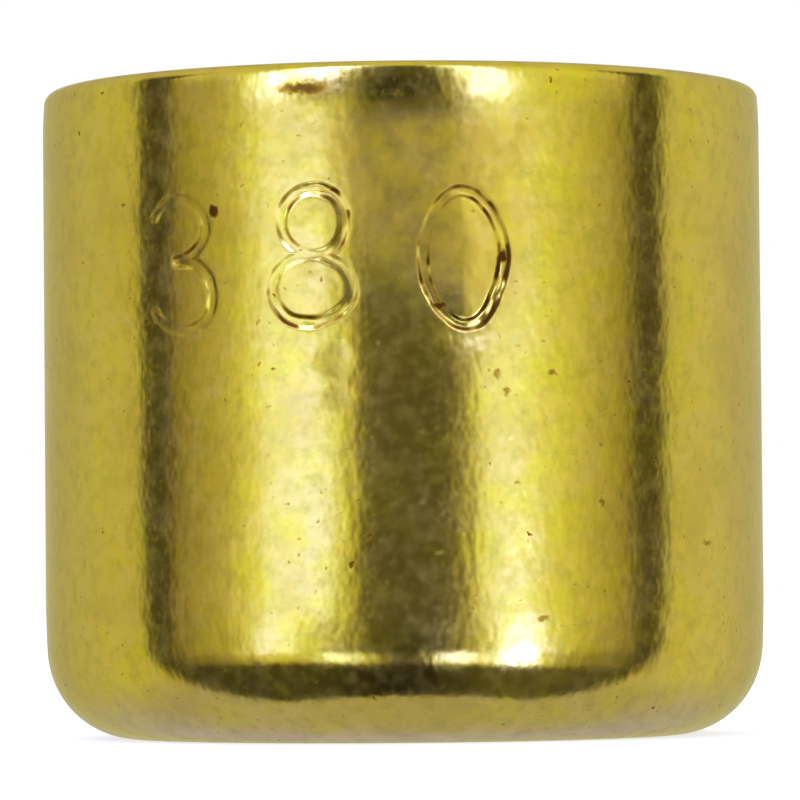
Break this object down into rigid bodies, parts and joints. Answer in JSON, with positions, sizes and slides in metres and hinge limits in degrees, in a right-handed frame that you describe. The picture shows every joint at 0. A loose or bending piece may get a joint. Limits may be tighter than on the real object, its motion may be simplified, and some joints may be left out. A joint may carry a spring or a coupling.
{
  "type": "hose ferrule",
  "caption": "Short drawn brass crimp ferrule: plain round wall, rounded shoulder and an inturned end pierced for a barbed hose stem, with an open mouth for the hose.",
  "frame": {"origin": "centre of the inturned end's outer face, which the ferrule stands on", "axes": "+Z along the ferrule's axis, from the inturned end towards the open mouth; -Y is the front that the picture shows"},
  "size_m": [0.0176, 0.0176, 0.0159],
  "materials": {
    "drawn_brass": "bright as-drawn yellow brass with a fine orange-peel grain, small pits and faint tarnish"
  },
  "bodies": {
    "root": {"ferrule": "drawn_brass"}
  },
  "joints": []
}
